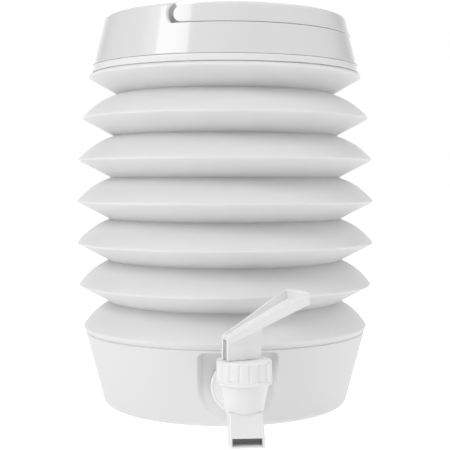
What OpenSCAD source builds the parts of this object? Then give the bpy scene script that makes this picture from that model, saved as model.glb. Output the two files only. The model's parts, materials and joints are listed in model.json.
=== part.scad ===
// Collapsible liquid dispenser: a tapered base bowl with a lever tap, a concertina
// bellows, a neck collar and a push-on lid with a swing-up carry handle.
// Millimetres. +Z is up and the origin is the middle of the bowl's underside.
// The tap faces -Y, and the folded handle's grip lies towards +X.

/* [Base bowl] */
// Height of the bowl's rim above the table
bowl_h = 51.5; // [46:0.5:60]
// Outer radius of the bowl at its rim, which the folds, collar and lid follow
bowl_rim_r = 99.3; // [90:0.1:112]
// How far the bowl's cone draws in from the rim to the table
bowl_taper = 13.4; // [8:0.1:16]
// Wall thickness of the bowl
bowl_wall = 2.2; // [1.6:0.1:3]
// Radius of the bowl's rounded lower edge
bowl_edge_r = 5; // [2:0.5:8]
// Width of the foot ring, from the cone's foot to its inner edge
foot_ring_w = 11.9; // [8:0.1:16]
// Height of the foot ring
foot_ring_h = 1.2; // [0.6:0.1:2]
// Thickness of the shoulder that carries the bellows
shoulder_t = 4.2; // [3.6:0.1:6]
// Width of the shoulder, from the rim to the inside of its sleeve
shoulder_w = 10.7; // [10:0.1:12]

/* [Tap recess] */
// Depth of the recess floor inside the bowl's rim
recess_in = 12.8; // [11:0.1:14]
// Radius of the recess's round lower end, and half its width
recess_r = 24.5; // [22:0.5:26]
// Height of the plain lip left above the recess
recess_lip = 2; // [1.5:0.1:4]

/* [Bellows] */
// How far the widest fold stands out beyond the bowl's rim
fold_out = 5.7; // [3:0.1:8]
// How far the widest valley lies inside the bowl's rim
fold_in = 16; // [14:0.1:18]
// Height of the outer dome of a fold
dome_h = 16.9; // [14:0.1:18]
// Height of the straight inner cone of a fold
cone_h = 12.2; // [10:0.1:13]
// Number of full folds
folds = 6; // [4:1:8]
// Height of the lowest ridge above the bowl's rim
hem_h = 4; // [3.6:0.1:6]
// Wall thickness of the bellows
bellows_wall = 1.2; // [0.8:0.1:1.6]
// Turn of the outer dome from valley to ridge, in degrees
dome_turn = 36; // [20:1:40]

/* [Neck collar] */
// How far the collar's rounded bead lies inside the bowl's rim
collar_in = 4.9; // [4:0.1:8]
// Height of the collar's bead
collar_h = 4.6; // [4:0.1:6]
// Width of the collar, from its bead to the inside of the mouth
collar_w = 10.4; // [10:0.1:12]
// Wall thickness of the mouth
mouth_wall = 1.9; // [1.6:0.1:2.4]
// Height of the mouth above the collar's bead
mouth_h = 6.8; // [5:0.1:7.4]

/* [Lid] */
// How far the lid's side draws in from its lower edge to its top
lid_taper = 8.2; // [6:0.1:10]
// Height of the lid
lid_h = 33; // [31:0.5:36]
// Wall thickness of the lid
lid_wall = 2.2; // [1.8:0.1:2.6]
// Radius of the lid's and the handle's rounded top edge
lid_edge_r = 3; // [1:0.5:3.5]
// Depth of the lid's dished top below its rim
dish_depth = 2.4; // [1:0.1:3]

/* [Carry handle] */
// Height of the handle band
band_h = 13.1; // [11:0.1:14]
// Thickness of the handle band
band_t = 4.6; // [4:0.1:5]
// Distance of the handle's pivots behind the vessel's axis
pivot_back = 34.5; // [30:0.5:38]
// Radius of the handle's rounded ends
pivot_boss_r = 5.4; // [5:0.1:6]
// Radius of the pivot studs
stud_r = 3; // [2.4:0.1:3.4]
// Length of the pivot studs
stud_l = 3.2; // [2.6:0.1:3.6]
// Half the width of the finger scoop
scoop_half = 41; // [36:1:44]
// Gap between the underside of the finger scoop and the lid's gasket
scoop_gap = 0.5; // [0.3:0.1:3]
// Depth of the finger well, from the lid's top edge to its back wall
well_depth = 15; // [12:0.5:18]

/* [Tap] */
// Distance of the tap's upright barrel in front of the recess floor
tap_reach = 39.5; // [36:0.5:44]
// Height of the tap's inlet shank
shank_z = 27.5; // [26:0.5:29]
// Radius of the shank
shank_r = 8; // [7:0.1:9]
// Radius of the water way
way_r = 5.2; // [4.4:0.1:5.6]
// Radius of the tap's flange
flange_r = 19; // [17:0.5:20]
// Thickness of the tap's flange
flange_t = 2.6; // [2:0.1:3.4]
// Thickness of the rubber gaskets
gasket_t = 1.5; // [1:0.1:2]
// Across-corners radius of the back nut
nut_r = 14.5; // [13:0.5:16]
// Thickness of the back nut
nut_t = 6; // [4:0.5:7]
// Outer radius of the barrel
barrel_r = 13.7; // [13.2:0.1:14.5]
// Radius of the barrel's bore
barrel_bore_r = 10.6; // [10:0.1:11]
// Height of the barrel's rounded lower end
barrel_low_z = 17.5; // [16:0.5:18.5]
// Height of the spout's lower lip
spout_z = 2.4; // [2:0.1:3]
// Reach of the spout in front of the barrel's axis
spout_reach = 20; // [18:0.5:22]
// Width of the spout
spout_w = 21.4; // [20.6:0.2:24]
// Width of the outlet
outlet_w = 17.8; // [16:0.2:19]
// Height of the outlet
outlet_h = 4.4; // [4.2:0.1:5]

/* [Tap cap] */
// Height of the cap's lower edge
cap_low_z = 36.4; // [36:0.1:37]
// Height of the cap's top
cap_top_z = 51.2; // [50.6:0.1:52]
// Outer radius of the cap
cap_r = 16.4; // [16:0.1:17.5]
// Number of grip grooves
cap_grooves = 16; // [12:1:20]
// Radius of a grip groove
groove_r = 1.3; // [0.8:0.1:1.5]
// Radius of the gland boss inside the cap
gland_r = 7.4; // [7.2:0.1:8.4]

/* [Stem and valve] */
// Radius of the stem
stem_r = 4; // [3.8:0.1:4.2]
// Thickness of the rubber seat cup's floor
cup_floor = 1.5; // [1.2:0.1:2]
// Outer radius of the seat cup
cup_r = 7.6; // [7.2:0.1:8.4]
// Section radius of the gland's O-ring
gland_ring_t = 1; // [0.8:0.1:1.1]
// Wire thickness of the spring
spring_wire = 0.9; // [0.6:0.1:1]
// Turns of the spring
spring_turns = 5; // [4:1:6]

/* [Lever] */
// Turn of the lever from +X towards +Y, in degrees
lever_yaw = 18; // [0:0.1:20]
// Rise of the lever's rim above the horizontal, in degrees
lever_rise = 27.8; // [24:0.1:30]
// Height of the rim's plane at the stem
lever_top_z = 72.1; // [71:0.1:74]
// Length of the lever behind the stem
lever_back = 14.3; // [12:0.1:15]
// Length of the lever in front of the stem
lever_front = 40.5; // [34:0.5:42]
// Width of the lever's hub
hub_w = 10.4; // [10:0.1:12]
// Width of the paddle's far end
paddle_w = 28.8; // [24:0.2:30]
// Thickness of the paddle's far end
paddle_far_t = 6.8; // [5.5:0.1:7]
// Thickness of the paddle's near end
paddle_near_t = 4; // [3.4:0.1:4.4]
// Depth of the trough at the paddle's near end
trough_near = 0.5; // [0.3:0.1:1]
// Lean of the paddle's far face, out towards its rim
far_lean = 2.4; // [0:0.1:3]
// Wall thickness of the paddle's trough
paddle_wall = 1.5; // [1.2:0.1:1.8]
// Height of the lever's pin
pin_z = 60; // [59:0.5:61]
// Radius of the lever's pin
pin_r = 1.5; // [1.2:0.1:1.8]
// Reach of the pin into each cheek of the lever, in a blind hole
pin_seat = 1.6; // [1.2:0.1:1.7]
// Reach of the hub in front of the pin
hub_front = 9.4; // [9:0.1:10]
// Lift of the stem for each radian that the lever is pressed down
cam_rate = 5.3; // [4.6:0.1:5.6]
// Thickness of the stem's tongue between the cheeks
tongue_t = 5; // [4.4:0.1:5.2]

/* [Clearances] */
// Gap between static parts that fit over one another
fit_gap = 0.3; // [0.2:0.05:0.4]
// Radial gap of a pivot in its bore
pivot_gap = 0.1; // [0.05:0.01:0.1]
// Gap between the lid's parts and what they rest on
seat_gap = 0.1; // [0.05:0.05:0.3]
// Seam between the handle and the lid below it
seam_gap = 0.3; // [0.2:0.05:0.5]
// Gap between the handle band and the lid's raised middle
band_gap = 0.8; // [0.6:0.1:1.2]
// Gap around the handle's rounded ends
notch_gap = 2.8; // [2.6:0.1:3.2]

/* [Hidden] */

$fn = 180;
big = 400;
cut = 1;

// Bowl, seals and clamp rings
bowl_foot_r = bowl_rim_r - bowl_taper;
foot_ring_r = bowl_foot_r - foot_ring_w;
recess_y = bowl_rim_r - recess_in;
clamp_t = 2.4;
sleeve_wall = 1.8;
seal_t = 1.15;
lower_sleeve_r = bowl_rim_r - shoulder_w;
lower_sleeve_out = lower_sleeve_r + sleeve_wall;
lower_seal_r = (lower_sleeve_out + bowl_rim_r) / 2;
lower_sleeve_h = bellows_wall + clamp_t + 0.6;
recess_top_z = bowl_h - recess_lip;
hem_tuck = 1.2;
clamp_inset = 3.2;

// Bellows
ridge_r = bowl_rim_r + fold_out;
valley_r = bowl_rim_r - fold_in;
pitch = dome_h + cone_h;
first_ridge_z = bowl_h + hem_h;
last_ridge_z = first_ridge_z + folds * pitch;
barrel_mid_z = first_ridge_z + 2.56 * pitch;
ridge_bow = 0.00089;
valley_mid_z = first_ridge_z + 1.94 * pitch;
valley_bow = 0.0006;
dome_steps = 6;
fold_slope = 36;
top_hem_h = 2.4;
collar_z = last_ridge_z + top_hem_h;
collar_tuck = 3;

// Collar
collar_r = bowl_rim_r - collar_in;
mouth_r = collar_r - collar_w;
collar_top_z = collar_z + collar_h;
mouth_top_z = collar_top_z + mouth_h;
upper_sleeve_h = bellows_wall + clamp_t + 0.8;
upper_seal_r = mouth_r + mouth_wall + 3.4;
clamp_w = 4;

// Lid and handle
lid_low_r = collar_r - 0.2;
lid_top_r = lid_low_r - lid_taper;
scoop_back_r = lid_top_r - well_depth;
lid_z = collar_top_z + 0.4;
lid_top_z = lid_z + lid_h;
band_z = lid_top_z - band_h;
ledge_z = band_z - seam_gap;
dish_z = lid_top_z - dish_depth;
pivot_z = band_z + pivot_boss_r;
notch_r = pivot_boss_r + notch_gap;
boss_depth = 6.8;
boss_y = sqrt(lid_top_r * lid_top_r - pivot_back * pivot_back) - boss_depth;
cheek_y = boss_y - 0.4;
cheek_t = stud_l + 0.6;
band_full_x = -8;
gasket_h = 1.8;
plug_wall = 2;
plug_r = mouth_r - 0.4;
well_half = scoop_half - 1;
scoop_depth = ledge_z - lid_wall - scoop_gap - gasket_h - seat_gap - mouth_top_z;
scoop_r = (scoop_half * scoop_half + scoop_depth * scoop_depth) / (2 * scoop_depth);

// Tap
tap_out = recess_y + tap_reach;
seat_z = barrel_low_z + 4.7;
seat_lip = 0.8;
seat_w = 1.2;
neck_t = 0.8;
spout_shoulder = 10.5;
spout_floor = 0.9;
front_face_y = recess_y + gasket_t;
cap_wall = 1.9;
neck_r = cap_r - cap_wall - 0.3;
cap_plate = 3.3;
gland_z = cap_top_z - 8.2;
gland_ring_r = stem_r + gland_ring_t + 0.02;
groove_out = 0.75;
cup_z = seat_z + seat_lip;
knob_z = cup_z + cup_floor + 0.1;
knob_r = 5.2;
knob_h = 2.4;
cup_h = 6.6;
collar_low_z = cup_z + cup_h + 0.7;
collar_t = 1.4;
spring_low_z = collar_low_z + collar_t;
spring_r = 6.4;
hub_low_z = cap_top_z + 0.3;
hub_back = lever_back * cos(lever_rise);
cam_start = pin_z - hub_low_z;
cam_angle = 24;
cheek_drop = 1.2;
cheek_inset = 0.2;
tongue_w = 6.2;
tongue_low_z = cap_top_z - 2.2;
tongue_top_r = tongue_w / 2;

// ---- helpers ----

// Points of an arc about c, from angle a0 to a1
function arc(c, r, a0, a1, n = 6) =
    [for (i = [0 : n]) let (a = a0 + (a1 - a0) * i / n) c + r * [cos(a), sin(a)]];

// Points of an arc from p to q that turns by t degrees and bulges to the right of p -> q
function bulge(p, q, t, n) =
    let (d = q - p, chord = norm(d), r = chord / 2 / sin(t / 2),
         c = (p + q) / 2 + [-d[1], d[0]] / chord * r * cos(t / 2),
         a0 = atan2(p[1] - c[1], p[0] - c[0]))
    arc(c, r, a0, a0 + t, n);

function reversed(v) = [for (i = [len(v) - 1 : -1 : 0]) v[i]];

// A ring with a rectangular section
module ring(r_in, r_out, h) {
    difference() {
        cylinder(r = r_out, h = h);
        translate([0, 0, -cut]) cylinder(r = r_in, h = h + 2 * cut);
    }
}

// A ring with a round section
module torus(r, t) {
    rotate_extrude() translate([r, 0]) circle(r = t, $fn = 32);
}

// A shape drawn in side view (across, up) and extruded along Y by w, centred
module side_plate(w) {
    translate([0, w / 2, 0]) rotate([90, 0, 0]) linear_extrude(height = w) children();
}

// ---- base bowl ----

bowl_slope = (bowl_rim_r - bowl_foot_r) / bowl_h;
bowl_lean = atan(bowl_slope);
function bowl_r(z) = bowl_foot_r + bowl_slope * z;

// Outer radius profile of the bowl with its rounded lower edge, moved in by t
function bowl_side(t, low_z, high_z) =
    let (r = max(bowl_edge_r - t, 0.5), zc = low_z + r,
         xc = bowl_r(zc) - (t + r) / cos(bowl_lean))
    concat(arc([xc, zc], r, -90, -bowl_lean), [[bowl_r(high_z) - t / cos(bowl_lean), high_z]]);

// The U-shaped recess for the tap, grown all round by t
module recess_form(t) {
    translate([0, t - recess_y, shank_z]) rotate([90, 0, 0])
        linear_extrude(height = bowl_rim_r) {
            circle(r = recess_r + t);
            translate([-recess_r - t, 0])
                square([2 * (recess_r + t), recess_top_z - shank_z + t]);
        }
}

module base_bowl() {
    color("white") difference() {
        rotate_extrude() polygon(concat([[0, 0]], bowl_side(0, 0, bowl_h), [
            [lower_sleeve_out, bowl_h], [lower_sleeve_out, bowl_h + lower_sleeve_h],
            [0, bowl_h + lower_sleeve_h],
        ]));
        difference() {
            rotate_extrude() polygon(concat(
                [[0, bowl_wall + foot_ring_h]],
                bowl_side(bowl_wall, bowl_wall + foot_ring_h, bowl_h - shoulder_t), [
                    [lower_sleeve_r, bowl_h - shoulder_t],
                    [lower_sleeve_r, bowl_h + lower_sleeve_h + cut],
                    [0, bowl_h + lower_sleeve_h + cut],
                ]));
            recess_form(bowl_wall);
        }
        recess_form(0);
        translate([0, 0, -cut]) cylinder(r = foot_ring_r, h = foot_ring_h + cut);
        translate([0, cut - recess_y + bowl_wall, shank_z]) rotate([90, 0, 0])
            cylinder(r = shank_r + fit_gap, h = bowl_wall + 2 * cut);
        translate([0, 0, bowl_h - 2 * seal_t])
            ring(lower_seal_r - seal_t - 0.1, lower_seal_r + seal_t + 0.1, 2 * seal_t + cut);
    }
}

module lower_seal() {
    color("gainsboro") translate([0, 0, bowl_h - seal_t]) torus(lower_seal_r, seal_t);
}

module lower_clamp_ring() {
    color("whitesmoke") translate([0, 0, bowl_h + bellows_wall])
        ring(lower_sleeve_out + 0.05, bowl_rim_r - clamp_inset, clamp_t);
}

// ---- bellows ----

function ridge_at(z) = ridge_r - ridge_bow * pow(z - barrel_mid_z, 2);
function valley_at(z) = valley_r - valley_bow * pow(z - valley_mid_z, 2);

// Corners of the folds as (radius, height), moved in by t, counted from the lowest
function ridge_point(i, t) =
    let (z = first_ridge_z + i * pitch) [ridge_at(z) - t / sin(fold_slope), z];
function valley_point(i, t) =
    let (z = first_ridge_z + i * pitch + dome_h) [valley_at(z) - t / sin(fold_slope), z];

// Side of the folds from the lowest ridge to the highest, moved in by t
function fold_side(t) = concat(
    [for (i = [0 : folds - 1])
        each bulge(ridge_point(i, t), valley_point(i, t), dome_turn, dome_steps)],
    [ridge_point(folds, t)]
);

module bellows() {
    hem_r = bowl_rim_r - hem_tuck;
    top_r = collar_r - collar_tuck;
    color("gainsboro", 0.9) rotate_extrude() polygon(concat(
        [[lower_sleeve_out + fit_gap, bowl_h], [hem_r, bowl_h]],
        fold_side(0),
        [[top_r, collar_z], [mouth_r + mouth_wall + fit_gap, collar_z],
         [mouth_r + mouth_wall + fit_gap, collar_z - bellows_wall],
         [top_r - bellows_wall, collar_z - bellows_wall]],
        reversed(fold_side(bellows_wall)),
        [[hem_r - bellows_wall, bowl_h + bellows_wall],
         [lower_sleeve_out + fit_gap, bowl_h + bellows_wall]]
    ));
}

// ---- neck collar ----

module neck_collar() {
    bead = collar_h / 2;
    color("white") difference() {
        rotate_extrude() polygon(concat(
            [[mouth_r, collar_z - upper_sleeve_h],
             [mouth_r + mouth_wall, collar_z - upper_sleeve_h],
             [mouth_r + mouth_wall, collar_z]],
            arc([collar_r - bead, collar_z + bead], bead, -90, 90, 8),
            [[mouth_r + mouth_wall, collar_top_z], [mouth_r + mouth_wall, mouth_top_z],
             [mouth_r, mouth_top_z]]
        ));
        translate([0, 0, collar_z - cut])
            ring(upper_seal_r - seal_t - 0.1, upper_seal_r + seal_t + 0.1, 2 * seal_t + cut);
    }
}

module upper_seal() {
    color("gainsboro") translate([0, 0, collar_z + seal_t]) torus(upper_seal_r, seal_t);
}

module upper_clamp_ring() {
    color("whitesmoke") translate([0, 0, collar_z - bellows_wall - clamp_t])
        ring(mouth_r + mouth_wall + 0.05, mouth_r + mouth_wall + clamp_w, clamp_t);
}

// ---- lid ----

lid_slope = (lid_low_r - lid_top_r) / lid_h;
lid_lean = atan(lid_slope);
function lid_r(z) = lid_low_r - lid_slope * (z - lid_z);

// Rounded outer top corner of the lid's cone
function lid_corner() =
    let (r = lid_edge_r, zc = lid_top_z - r, xc = lid_r(zc) - r / cos(lid_lean))
    arc([xc, zc], r, lid_lean, 90);

// Section of the rim and the band, from z up to the lid's top, t thick
function band_section(z, t) = concat(
    [[lid_r(z) - t, z], [lid_r(z), z]], lid_corner(),
    [[lid_r(lid_top_z) - t + 0.6, lid_top_z], [lid_r(lid_top_z) - t, lid_top_z - 0.6]]
);

// Everything inside the raised middle of the lid, moved in by t
module lid_middle(t, low_z, high_z) {
    gap = band_t + band_gap + t;
    rotate_extrude() polygon([
        [0, low_z], [lid_r(low_z) - gap, low_z], [lid_r(high_z) - gap, high_z], [0, high_z],
    ]);
}

// The finger scoop under the handle, grown all round by t
module scoop_form(t) {
    difference() {
        intersection() {
            translate([0, 0, ledge_z + scoop_r - scoop_depth]) rotate([0, 90, 0])
                cylinder(r = scoop_r + t, h = big);
            translate([0, -well_half - t, 0]) cube([big, 2 * (well_half + t), big]);
        }
        cylinder(r = scoop_back_r - t, h = big);
    }
}

// A round bar along one pivot, from y to y + l
module pivot_bar(r, y, l) {
    translate([0, y + l, 0]) rotate([90, 0, 0]) cylinder(r = r, h = l, $fn = 64);
}

module handle_space() {
    difference() {
        translate([-pivot_back, -big / 2, ledge_z]) cube([big, big, big]);
        lid_middle(0, ledge_z - cut, lid_top_z + cut);
    }
    intersection() {
        for (side = [0, 1]) mirror([0, side, 0])
            translate([-pivot_back, 0, pivot_z]) pivot_bar(notch_r, cheek_y, big / 2);
        translate([-big / 2, -big / 2, ledge_z]) cube(big);
    }
}

module lid_cavity() {
    difference() {
        union() {
            rotate_extrude() polygon([
                [0, lid_z - cut], [lid_r(lid_z - cut) - lid_wall, lid_z - cut],
                [lid_r(ledge_z) - lid_wall, ledge_z - lid_wall], [0, ledge_z - lid_wall],
            ]);
            lid_middle(lid_wall, ledge_z - lid_wall - cut, dish_z - lid_wall);
            intersection() {
                rotate_extrude() polygon([
                    [lid_r(ledge_z) - band_t - 6, ledge_z - lid_wall - cut],
                    [lid_r(ledge_z) - lid_wall, ledge_z - lid_wall - cut],
                    [lid_r(dish_z) - lid_wall - 0.6, dish_z - lid_wall],
                    [lid_r(dish_z) - band_t - 6, dish_z - lid_wall],
                ]);
                translate([-big - pivot_back - notch_r - lid_wall, -big / 2, 0])
                    cube([big, big, big]);
            }
        }
        scoop_form(lid_wall);
        for (side = [0, 1]) mirror([0, side, 0])
            translate([-pivot_back, 0, pivot_z])
                pivot_bar(notch_r + lid_wall, cheek_y - cheek_t, big / 2);
    }
}

module lid_shell() {
    color("white") difference() {
        union() {
            difference() {
                rotate_extrude() polygon(concat(
                    [[0, lid_z], [lid_low_r, lid_z]], lid_corner(), [
                        [lid_r(lid_top_z) - band_t, lid_top_z],
                        [lid_r(dish_z) - band_t - 1.6, dish_z], [0, dish_z],
                    ]));
                lid_cavity();
            }
            translate([0, 0, mouth_top_z + gasket_h + seat_gap])
                ring(plug_r - plug_wall, mouth_r + mouth_wall + 0.6,
                     ledge_z - lid_wall - mouth_top_z - gasket_h - seat_gap + 0.5);
            translate([0, 0, lid_z + 1.6])
                ring(plug_r - plug_wall, plug_r, ledge_z - lid_wall - lid_z - 1.1);
        }
        handle_space();
        scoop_form(0);
        for (side = [0, 1]) mirror([0, side, 0])
            translate([-pivot_back, 0, pivot_z])
                pivot_bar(stud_r + pivot_gap, cheek_y - cheek_t - cut, cheek_t + 2 * cut);
    }
}

module lid_gasket() {
    color("gainsboro") translate([0, 0, mouth_top_z + seat_gap])
        ring(plug_r + 0.1, mouth_r + mouth_wall + 0.6, gasket_h);
}

// ---- carry handle ----

// The handle from the side: low round ends that rise to the full band
module handle_outline() {
    low_top = band_z + 2 * pivot_boss_r;
    translate([-pivot_back, pivot_z]) circle(r = pivot_boss_r);
    polygon([
        [-pivot_back, band_z], [big / 2, band_z], [big / 2, lid_top_z + cut],
        [band_full_x, lid_top_z + cut], [band_full_x, lid_top_z], [-pivot_back, low_top],
    ]);
}

module carry_handle() {
    color("white") union() {
        intersection() {
            rotate_extrude() polygon(band_section(band_z, band_t));
            side_plate(big) handle_outline();
        }
        for (side = [0, 1]) mirror([0, side, 0]) {
            intersection() {
                translate([-pivot_back, 0, pivot_z])
                    pivot_bar(pivot_boss_r, boss_y, big / 4);
                rotate_extrude() polygon(concat([[0, band_z], [lid_r(band_z), band_z]],
                    lid_corner(), [[0, lid_top_z]]));
            }
            translate([-pivot_back, 0, pivot_z])
                pivot_bar(stud_r, boss_y - stud_l, stud_l + 1);
        }
    }
}

// ---- tap ----

module at_tap() {
    translate([0, -tap_out, 0]) children();
}

// A round bar along Y from y0 to y1 (both given as distances in front of the axis)
module shank_bar(r, y0, y1) {
    translate([0, -y0, shank_z]) rotate([90, 0, 0]) cylinder(r = r, h = y1 - y0, $fn = 96);
}

// A slab with rounded upright edges, from y0 to y1 in front of the barrel's axis
module spout_slab(w, y0, y1, z, r) {
    for (x = [-1, 1], y = [-y0 - r, -y1 + r])
        translate([x * (w / 2 - r), y, z]) cylinder(r = r, h = 0.4, $fn = 24);
}

module tap_body() {
    shank_end = recess_y - bowl_wall - gasket_t - nut_t - 3.5;
    color("white") difference() {
        union() {
            at_tap() {
                rotate_extrude() polygon(concat(
                    [[0, barrel_low_z]],
                    arc([barrel_r - 8, barrel_low_z + 7], 7, -90, 0),
                    [[barrel_r, cap_low_z - 1.2], [neck_r, cap_low_z - 1.2],
                     [neck_r, cap_top_z - cap_plate - 0.4],
                     [0, cap_top_z - cap_plate - 0.4]]
                ));
                hull() {
                    spout_slab(spout_w - 1, -8, spout_shoulder, barrel_low_z + 3, 2);
                    spout_slab(spout_w, 5, spout_reach, spout_z, 1.2);
                }
            }
            shank_bar(shank_r + neck_t, front_face_y, tap_out);
            shank_bar(flange_r, front_face_y, front_face_y + flange_t);
            shank_bar(shank_r, shank_end, front_face_y + 1);
        }
        at_tap() difference() {
            translate([0, 0, seat_z]) cylinder(r = barrel_bore_r, h = big / 2);
            translate([0, 0, seat_z - cut]) cylinder(r = way_r + seat_w, h = cut + seat_lip);
        }
        at_tap() {
            translate([0, 0, barrel_low_z]) cylinder(r = way_r, h = big / 2);
            hull() {
                spout_slab(outlet_w, -3, 7, barrel_low_z + 1, 1.5);
                spout_slab(outlet_w, 8, spout_reach - 2.5, spout_z + spout_floor, 0.4);
            }
            translate([-outlet_w / 2, -spout_reach - cut, spout_z + spout_floor])
                cube([outlet_w, 9, outlet_h]);
        }
        shank_bar(way_r, shank_end - cut, tap_out);
    }
}

module front_gasket() {
    color("gainsboro") difference() {
        shank_bar(flange_r - 1.5, recess_y, front_face_y);
        shank_bar(shank_r + 0.1, recess_y - cut, front_face_y + cut);
    }
}

module rear_gasket() {
    inside_y = recess_y - bowl_wall;
    color("gainsboro") difference() {
        shank_bar(nut_r - 1, inside_y - gasket_t, inside_y);
        shank_bar(shank_r + 0.1, inside_y - gasket_t - cut, inside_y + cut);
    }
}

module back_nut() {
    nut_y = recess_y - bowl_wall - gasket_t - nut_t;
    color("white") difference() {
        translate([0, -nut_y, shank_z]) rotate([90, 0, 0])
            cylinder(r = nut_r, h = nut_t, $fn = 6);
        shank_bar(shank_r + 0.05, nut_y - cut, nut_y + nut_t + cut);
    }
}

// ---- tap cap and gland ----

module tap_cap() {
    lip_h = 1.8;
    color("white") at_tap() difference() {
        rotate_extrude() polygon(concat(
            [[0, cap_low_z], [cap_r + 0.2, cap_low_z], [cap_r + 0.7, cap_low_z + 0.5],
             [cap_r + 0.7, cap_low_z + lip_h - 0.5], [cap_r, cap_low_z + lip_h]],
            arc([cap_r - 1.6, cap_top_z - 1.6], 1.6, 0, 90, 5),
            [[0, cap_top_z]]
        ));
        difference() {
            translate([0, 0, cap_low_z - cut])
                cylinder(r = cap_r - cap_wall, h = cap_top_z - cap_plate - cap_low_z + cut);
            translate([0, 0, gland_z]) cylinder(r = gland_r, h = cap_top_z - gland_z);
        }
        cylinder(r = stem_r + pivot_gap, h = big);
        cylinder(r = gland_ring_r + gland_ring_t + 0.05, h = gland_z + 2 * gland_ring_t + 0.2);
        for (i = [0 : cap_grooves - 1]) rotate([0, 0, (i + 0.5) * 360 / cap_grooves])
            translate([0, cap_r + groove_out, cap_low_z + lip_h + 0.5])
                cylinder(r = groove_r, h = cap_top_z - cap_low_z - lip_h - 2.3, $fn = 32);
    }
}

module gland_ring() {
    color("dimgray") at_tap() translate([0, 0, gland_z + gland_ring_t + 0.1])
        torus(gland_ring_r, gland_ring_t - 0.02);
}

// ---- spring, stem and valve ----

// Round wire wound into a helix with closed ends, as one swept solid
module coil(r, wire, z0, z1, turns) {
    sides = 8;
    rings = turns * 16;
    low = z0 + wire / 2;
    rise = z1 - z0 - wire;
    points = [for (k = [0 : rings], j = [0 : sides - 1])
        let (u = k / rings, a = 360 * turns * u, b = 360 * j / sides,
             d = r + wire / 2 * cos(b))
        [d * cos(a), d * sin(a), low + rise * u + wire / 2 * sin(b)]];
    faces = concat(
        [[for (j = [0 : sides - 1]) j]],
        [for (k = [0 : rings - 1], j = [0 : sides - 1])
            let (m = (j + 1) % sides, p = k * sides, q = p + sides)
            each [[p + j, q + j, q + m], [p + j, q + m, p + m]]],
        [[for (j = [sides - 1 : -1 : 0]) rings * sides + j]]
    );
    polyhedron(points, faces, convexity = 10);
}

module tap_spring() {
    color("silver") at_tap()
        coil(spring_r, spring_wire, spring_low_z + 0.05, gland_z - 0.05, spring_turns);
}

module tap_stem() {
    color("whitesmoke") at_tap() rotate([0, 0, lever_yaw]) difference() {
        union() {
            translate([0, 0, knob_z]) cylinder(r = knob_r, h = knob_h, $fn = 64);
            translate([0, 0, knob_z]) cylinder(r = stem_r, h = tongue_low_z - knob_z);
            translate([0, 0, collar_low_z]) cylinder(r = spring_r + 0.6, h = collar_t);
            translate([-tongue_w / 2, -tongue_t / 2, tongue_low_z - 1])
                cube([tongue_w, tongue_t, pin_z - tongue_low_z + 1]);
            translate([0, tongue_t / 2, pin_z]) rotate([90, 0, 0])
                cylinder(r = tongue_top_r, h = tongue_t, $fn = 64);
        }
        translate([0, tongue_t, pin_z]) rotate([90, 0, 0])
            cylinder(r = pin_r + 0.02, h = 2 * tongue_t, $fn = 64);
    }
}

module seat_cup() {
    color("gainsboro") at_tap() difference() {
        union() {
            translate([0, 0, cup_z]) cylinder(r1 = cup_r - 0.8, r2 = cup_r, h = 2.5);
            translate([0, 0, cup_z + 2.5]) cylinder(r = cup_r, h = 1.6);
            translate([0, 0, cup_z + 4.1]) cylinder(r = knob_r + 1.2, h = cup_h - 4.1);
        }
        translate([0, 0, knob_z - 0.1]) cylinder(r = knob_r + 0.1, h = knob_h + 0.2);
        translate([0, 0, knob_z]) cylinder(r = stem_r + 0.1, h = big);
    }
}

// ---- lever ----

// The lever's own directions: X along it, Y across it, at the stem's axis
module at_lever() {
    at_tap() rotate([0, 0, lever_yaw]) children();
}

module lever_pin() {
    length = tongue_t + 2 * pin_seat;
    color("silver") at_lever() translate([0, length / 2, pin_z]) rotate([90, 0, 0])
        cylinder(r = pin_r, h = length, $fn = 64);
}

// Side of the cam below the pin: its support grows by cam_rate for each radian
function cam_point(a) =
    let (h = cam_start + cam_rate * a * PI / 180)
    [h * sin(a) + cam_rate * cos(a), pin_z - h * cos(a) + cam_rate * sin(a)];

// Height of the rim's plane over the lever's axis at x
function rim_z(x) = lever_top_z + x * tan(lever_rise);

module cheek_outline() {
    polygon(concat(
        [[-hub_back, hub_low_z]],
        [for (i = [0 : 4]) cam_point(cam_angle * i / 4)],
        [[hub_front, hub_low_z + 3], [hub_front, rim_z(hub_front) - cheek_drop],
         [-hub_back, rim_z(-hub_back) - cheek_drop]]
    ));
}

// Paddle in its own plane: a trapezoid inset by t
module paddle_plan(t) {
    polygon([
        [t - lever_back, t - hub_w / 2], [lever_front - t, t - paddle_w / 2],
        [lever_front - t, paddle_w / 2 - t], [t - lever_back, hub_w / 2 - t],
    ]);
}

// Far face of the paddle at height z over its rim, inset by t
function far_x(z, t) = lever_front - t + far_lean * z / paddle_far_t;

// Side view of the paddle, from its rim down to a floor that is near below the rim at its
// near end and t above its underside at its far end
module paddle_side(t, near) {
    polygon([
        [-lever_back - cut, -near], [far_x(t - paddle_far_t, t), t - paddle_far_t],
        [far_x(2 * t, t), 2 * t], [-lever_back - cut, 2 * t],
    ]);
}

module at_paddle() {
    translate([0, 0, lever_top_z]) rotate([0, -lever_rise, 0]) children();
}

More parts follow.
